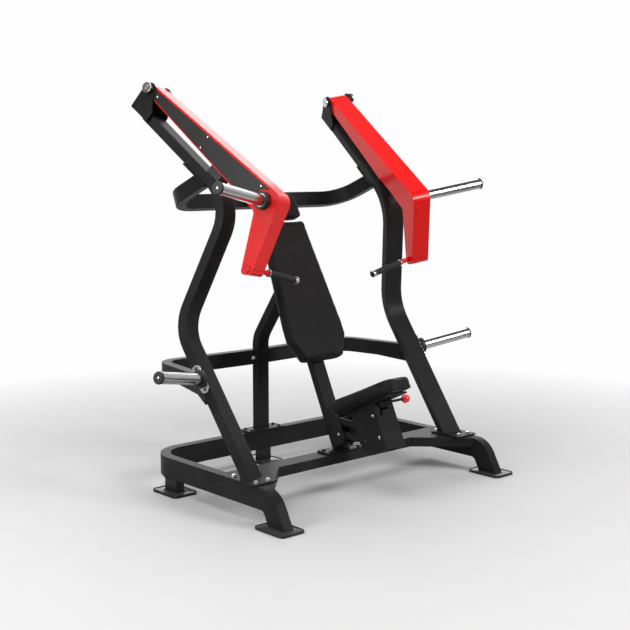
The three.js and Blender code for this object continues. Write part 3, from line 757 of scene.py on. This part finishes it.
PAD_BACK, PAD_FRONT = 0.380, 0.437                         # the back and head pads, along f
BOARD_FRONT = PAD_BACK + 0.011
back_shape = rounded([(-0.112, 0.425), (0.112, 0.425), (0.162, 0.525), (0.162, 0.595), (0.118, 1.104),
                      (-0.118, 1.104), (-0.162, 0.595), (-0.162, 0.525)],
                     [0.024, 0.024, 0.040, 0.060, 0.022, 0.022, 0.060, 0.040], 7)
head_shape = rounded([(-0.113, 1.122), (0.113, 1.122), (0.110, 1.192), (0.098, 1.246),
                      (-0.098, 1.246), (-0.110, 1.192)], [0.020, 0.020, 0.030, 0.024, 0.024, 0.030], 7)
for label, shape, node in (("back", back_shape, "back_pad"), ("head", head_shape, "head_pad")):
    cushion(f"{label}_cushion", shape, BOARD_FRONT, PAD_FRONT, node, "frame")
    board = Soup().add(prism(inset(shape, 0.004), PAD_BACK + 0.0002, BOARD_FRONT, 0.0015), RECLINE)
    board.make(f"{label}_board", BOARD, "frame", "upholstery")

# The seat cushion lies on its carriage, crowned upwards.
seat_shape = rounded([(-0.135, -0.505), (-0.066, -0.842), (0.066, -0.842), (0.135, -0.505)],
                     [0.025, 0.040, 0.040, 0.025], 7)
cushion("seat_cushion", seat_shape, 0.1535, 0.207, "seat_pad", "seat", SEAT_UP, 0.006, 0.010)
board = Soup().add(prism(inset(seat_shape, 0.018), 0.1492, 0.1545, 0.0010), SEAT_UP)
board.make("seat_board", BOARD, "seat", "upholstery")


# ------------------------------------------------------------------ feet
FOOT_TOP = 0.007
FOOT_CORNER = 0.022
LIP = 0.0045                                               # the lip's width, and its height over the plate


def foot_dressing(foot):
    """Raised rubber lip round a foot plate and the steel inlay inside it."""
    low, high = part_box(foot)
    x, y = (low.x + high.x) / 2, (low.y + high.y) / 2
    outline = rectangle(x, y, high.x - low.x, high.y - low.y, FOOT_CORNER)
    lip = Soup().add(rim(outline, LIP, FOOT_TOP - 0.002, FOOT_TOP + LIP))
    lip.make(f"{foot}_lip", FOOT_RUBBER, "frame", "rubber")
    inlay = Soup().add(prism(inset(outline, LIP + 0.0002), FOOT_TOP - 0.001, FOOT_TOP + 0.0022, 0.0006, 2))
    inlay.make(f"{foot}_inlay", FOOT_STEEL, "frame", "foot_paint")


for foot in both("front_foot", "rear_foot") + ["center_foot"]:
    foot_dressing(foot)


# ------------------------------------------------------------------ welds and bolts on the frame
# Below, Y is counted from the drawing's own zero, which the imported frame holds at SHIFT.
SHIFT = side_origin.y + 0.475
TUBE_FACE, TUBE_DEPTH = 0.092, 0.045
LEG_DIR = Vector((0.4713, 0.6681)).normalized()            # the upright's lower leg, as (e1, e2)
LEG_FRONT = Vector((-LEG_DIR.y, LEG_DIR.x))
LEG_BASE = Vector((-0.019, -0.0723))
PLATE_WELD = 0.1668                                        # height of the bead at an upright's base
POST_WELD = ((-0.035, 0.239), (0.035, 0.281), 0.1665)      # low corner, high corner, height
REAR_FOOT = (0.648, 0.075)                                 # the right rear leg's centre
REAR_WELDS = (0.0098, 0.0655)                              # on its foot plate, and under the ring
RING_BOLT = (-0.064, 0.2408, 0.521)
HOLES = (0.6353, 0.4909)                                   # the pin holes' places along the leg
HOLE_N = -0.043                                            # and their depth behind its outer face


def leg_point(side, along, off, n):
    """A point beside the upright's lower leg: along it, off its centre line to the front, at depth n."""
    p = LEG_BASE + along * LEG_DIR + off * LEG_FRONT
    return on_side(side) @ Vector((p.x, p.y, n))


def leg_section(side, z):
    """Where the upright's four edges reach a height, as a closed polygon."""
    half = TUBE_DEPTH / 2
    out = []
    for off, n in ((half, 0), (half, -TUBE_FACE), (-half, -TUBE_FACE), (-half, 0)):
        a, b = leg_point(side, 0, off, n), leg_point(side, 0.3, off, n)
        out.append(a.lerp(b, (z - a.z) / (b.z - a.z)))
    return out


def level_box(low, high, z):
    """A level rectangle's corners."""
    return [(low[0], low[1], z), (high[0], low[1], z), (high[0], high[1], z), (low[0], high[1], z)]


welds = Soup()
for side in SIDES:
    weld(welds, leg_section(side, PLATE_WELD))
low, high, z = POST_WELD
weld(welds, level_box((low[0], low[1] + SHIFT), (high[0], high[1] + SHIFT), z))
for sign in (1, -1):
    x, y = sign * REAR_FOOT[0], REAR_FOOT[1] + SHIFT
    reach_x, reach_y = TUBE_DEPTH / 2, TUBE_FACE / 2
    for z in REAR_WELDS:
        weld(welds, level_box((x - reach_x, y - reach_y), (x + reach_x, y + reach_y), z))
welds.make("weld_beads", FRAME_PAINT, "frame", "frame_paint", 70)

hardware = Soup()
for plate in both("upright_plate"):
    low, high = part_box(plate)
    for from_side, y in ((0.034, low.y + 0.027), (0.028, high.y - 0.012)):
        for x in (low.x + from_side, high.x - from_side):
            bolt(hardware, at((x, y, high.z)))
x, y, z = RING_BOLT
bolt(hardware, at((x, y + SHIFT, z), (-0.045, -1, 0)), 0.010, 0.010)
hardware.make("frame_bolts", ZINC, "frame", "chrome", 35)

dark_bolts = Soup()
for plate in ("post_plate", "support_plate"):
    low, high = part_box(plate)
    for x in (low.x + 0.026, high.x - 0.026):
        for y in (low.y + 0.020, high.y - 0.020):
            bolt(dark_bolts, at((x, y, high.z)), 0.008, 0.009)
dark_bolts.make("plate_bolts", BLACK_STEEL, "frame", "frame_paint", 35)

holes = Soup()
for side in SIDES:
    for along in HOLES:
        outward = leg_point(side, along, 0.1, HOLE_N) - leg_point(side, along, 0.0, HOLE_N)
        mouth = leg_point(side, along, TUBE_DEPTH / 2 + 0.0001, HOLE_N)
        holes.add(disc(0.0055, 0.0004, 20), at(mouth, outward))
holes.make("upright_holes", SHADOW, "frame", "frame_paint")


# ------------------------------------------------------------------ pivots, horns, arms and handles
def pair(name, build, material, body, slot, smooth=35):
    """The same dressing on both sides, drawn in the leaning plane."""
    for side in SIDES:
        soup = Soup()
        build(soup, lambda p, axis=(0, 0, 1): on_side(side, at(p, axis)))
        rides = body if body == "frame" else f"{body}_{side}"
        soup.make(f"{name}_{side}", material, rides, slot, smooth)


CAP_OUT, CAP_IN = 0.042, -0.115                            # the bright caps' faces, along n
COVER_FACE = 0.0083
COVER_SCREWS = ((0.670, 1.5955), (0.379, 1.414), (0.412, 1.369), (0.084, 1.207))
ARM_HORN, ARM_HORN_TIP, ARM_COLLAR_FACE = (0.071, 1.147), 0.333, 0.0230
STORE_HORN, STORE_HORN_TIP = (0.303, 0.385), 0.294
STORE_PLATE_FACE = 0.004
STORE_SCREW_OFF = 0.0500                                   # the plate's screws are this far from the horn


def pivot_bush(soup, place):
    """Black bushes under the two caps: a deep one outside and a flat one inside."""
    outer = [(0, 0), (0.0205, 0), (0.0225, 0.002), (0.0225, 0.0135), (0.0205, 0.0165), (0, 0.0165)]
    soup.add(lathe(outer, 40), place((PIVOT.x, PIVOT.y, 0.0173)))
    soup.add(disc(0.0225, 0.0055, 40), place((PIVOT.x, PIVOT.y, -0.1065)))


def pivot_cap(soup, place):
    """The turned ring and centre in the middle of each bright cap."""
    ring = [(0.0062, -0.0003), (0.0092, -0.0003), (0.0092, 0.0006), (0.0084, 0.0012), (0.0070, 0.0012),
            (0.0062, 0.0006)]
    for n, out in ((CAP_OUT, 1), (CAP_IN, -1)):
        there = place((PIVOT.x, PIVOT.y, n), (0, 0, out))
        soup.add(turned_ring(ring, 40), there)
        soup.add(lathe([(0, 0), (0.0048, 0), (0.0044, 0.0006), (0, 0.0008)], 32), there)


def cover_screws(soup, place):
    """The bright screws that hold an arm's side cover."""
    for center in COVER_SCREWS:
        soup.add(button_head(0.0048, 0.0022), place((*center, COVER_FACE)))


def arm_horn_ring(soup, place):
    """Bright retaining ring where a horn leaves its rubber collar."""
    ring = [(0.0252, 0), (0.0276, 0), (0.0278, 0.0008), (0.0273, 0.0014), (0.0252, 0.0014)]
    soup.add(turned_ring(ring, 40), place((*ARM_HORN, ARM_COLLAR_FACE)))


def arm_horn_screw(soup, place):
    """The screw in a loading horn's end cap."""
    soup.add(button_head(0.0062, 0.0016), place((*ARM_HORN, ARM_HORN_TIP)))


def storage_screw(soup, place):
    """The screw in a storage horn's end cap."""
    soup.add(button_head(0.0062, 0.0016), place((*STORE_HORN, STORE_HORN_TIP)))


def sunk_screws_and_socket_shade(soup, place):
    """Sunk screws at a storage plate's two ends, as dark discs: the raised centre is the black screw head,
    and the dark outer ring round it is painted shade of its recessed socket.
    """
    screw = [(0, 0), (0.0075, 0), (0.0072, 0.0004), (0.0048, 0.0003), (0.0044, 0.0010), (0, 0.0010)]
    for sign in (1, -1):
        p = Vector(STORE_HORN) + sign * STORE_SCREW_OFF * LEG_DIR
        soup.add(lathe(screw, 32), place((p.x, p.y, STORE_PLATE_FACE)))


pair("pivot_bush", pivot_bush, RUBBER, "frame", "rubber")
pair("pivot_cap", pivot_cap, ZINC, "frame", "chrome")
pair("cover_screws", cover_screws, ZINC, "press_arm", "chrome")
pair("arm_horn_ring", arm_horn_ring, CHROME, "press_arm", "chrome")
pair("arm_horn_screw", arm_horn_screw, ZINC, "press_arm", "chrome")
pair("storage_screw", storage_screw, ZINC, "frame", "chrome")
# Dark discs on the storage plates: black screw heads, with painted shade of their recessed sockets round
# them.
pair("storage_plate_screws_and_socket_shade", sunk_screws_and_socket_shade, BLACK_STEEL, "frame", "frame_paint")

HANDLE_START, HANDLE_END = Vector((0.1183, 0.8622, -0.0850)), Vector((0.0645, 0.8425, -0.3137))
HANDLE_DIR = (HANDLE_END - HANDLE_START).normalized()
HANDLE_LENGTH = (HANDLE_END - HANDLE_START).length
GRIP_FROM = 0.055                                          # where the grip's collar is, along the handle
CUP = 0.0170                                               # length of the cup on the handle's end
PLUG = 0.0030                                              # length of the plug in the cup
BOSS = (0.1183, 0.8612, 0.0075)                            # the outer face of the handle's root


def on_handle(place, along):
    """A place on the handle's axis, that far along it."""
    return place(HANDLE_START + along * HANDLE_DIR, HANDLE_DIR)


def handle_collar(soup, place):
    """Bright collar at the inner end of the grip and the cup on its outer end."""
    collar = [(0, 0), (0.0152, 0), (0.0164, 0.0012), (0.0164, 0.0095), (0.0152, 0.0108), (0, 0.0108)]
    soup.add(lathe(collar, 40), on_handle(place, GRIP_FROM - 0.001))
    cup = [(0, 0), (0.0140, 0), (0.0154, 0.0), (0.0162, 0.0015), (0.0162, 0.0155), (0.0152, 0.0172),
           (0.0112, 0.0172), (0.0107, 0.0155), (0.0107, 0.0140), (0, 0.0140)]
    soup.add(lathe(cup, 40), on_handle(place, HANDLE_LENGTH - CUP))


def handle_plug(soup, place):
    """The black plug sunk in the handle's end cup."""
    plug = [(0, 0), (0.0105, 0), (0.0105, 0.0022), (0.0090, PLUG), (0.0040, 0.0026), (0, 0.0024)]
    soup.add(lathe(plug, 32), on_handle(place, HANDLE_LENGTH - PLUG - 0.0003))


def grip_sleeve(soup, place):
    """Rubber sleeve: a slight swell, end beads and shallow rings."""
    radius, bead, shoulder, rings = 0.0138, 0.0150, 0.0062, 46
    length = HANDLE_LENGTH - 0.0168 - GRIP_FROM - 0.0100
    profile = [(0, 0), (0.0140, 0), (bead, 0.0010), (bead, 0.0050), (radius, shoulder)]
    for k in range(1, rings):
        t = k / rings
        groove = 0.00035 if k % 2 else 0.0
        swell = 0.0006 * math.sin(math.pi * t)
        profile.append((radius + swell - groove, shoulder + (length - 2 * shoulder) * t))
    profile += [(radius, length - shoulder), (bead, length - 0.0050), (bead, length - 0.0010),
                (0.0140, length), (0, length)]
    soup.add(lathe(profile, 36), on_handle(place, GRIP_FROM + 0.0099))


def boss_face(soup, place):
    """The turned ring and raised centre on the outer face of the handle's root."""
    ring = [(0.0140, -0.0003), (0.0178, -0.0003), (0.0176, 0.0006), (0.0164, 0.0011), (0.0148, 0.0007)]
    soup.add(turned_ring(ring, 40), place(BOSS))
    soup.add(lathe([(0, 0), (0.0102, 0), (0.0098, 0.0010), (0, 0.0013)], 36), place(BOSS))


pair("handle_collar", handle_collar, CHROME, "press_arm", "chrome")
pair("handle_plug", handle_plug, RUBBER, "press_arm", "rubber")
pair("grip_sleeve", grip_sleeve, GRIP, "press_arm", "grip_rubber", 20)
pair("handle_boss", boss_face, ARM_PAINT, "press_arm", "arm_paint")
for side in SIDES:
    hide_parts(f"grip_{side}")


# ------------------------------------------------------------------ seat hardware
CHEEK = 0.058                                              # half the width of the bracket and the carriage
RACK_FLANK = 0.004                                         # half the rack's thickness
BOLT_HEAD, STUD_HEAD = (0.0078, 0.0042), (0.0026, 0.0012)  # radius and height


def seat_heads(name, points, half, head, body, material=ZINC, slot="chrome"):
    """Domed heads on both sides of a seat part, at these (f, s)."""
    soup = Soup()
    for f, s in points:
        for sign in (1, -1):
            soup.add(button_head(*head), at(reclined(sign * half, f, s), (sign, 0, 0)))
    soup.make(name, material, body, slot)


def rack_points(radius, top, step, count):
    """Places down the rack, one for each height of the seat, as (f, s). The angles are in degrees."""
    turns = [math.radians(top - step * k) for k in range(count)]
    return [(SEAT_PIVOT[0] + radius * math.cos(a), SEAT_PIVOT[1] + radius * math.sin(a)) for a in turns]


seat_heads("rack_studs", rack_points(0.067, 22, 8, 7), RACK_FLANK, STUD_HEAD, "frame")
seat_heads("bracket_bolts", [SEAT_PIVOT], CHEEK, BOLT_HEAD, "frame")
seat_heads("bracket_pins", [(0.432, 0.135)], CHEEK, BOLT_HEAD, "frame", BLACK_STEEL, "frame_paint")
seat_heads("carriage_bolts", [(0.677, 0.087), (0.677, -0.011)], CHEEK, BOLT_HEAD, "seat")
seat_heads("carriage_pins", [(0.587, -0.005), (0.587, 0.060)], CHEEK, BOLT_HEAD, "seat",
           BLACK_STEEL, "frame_paint")
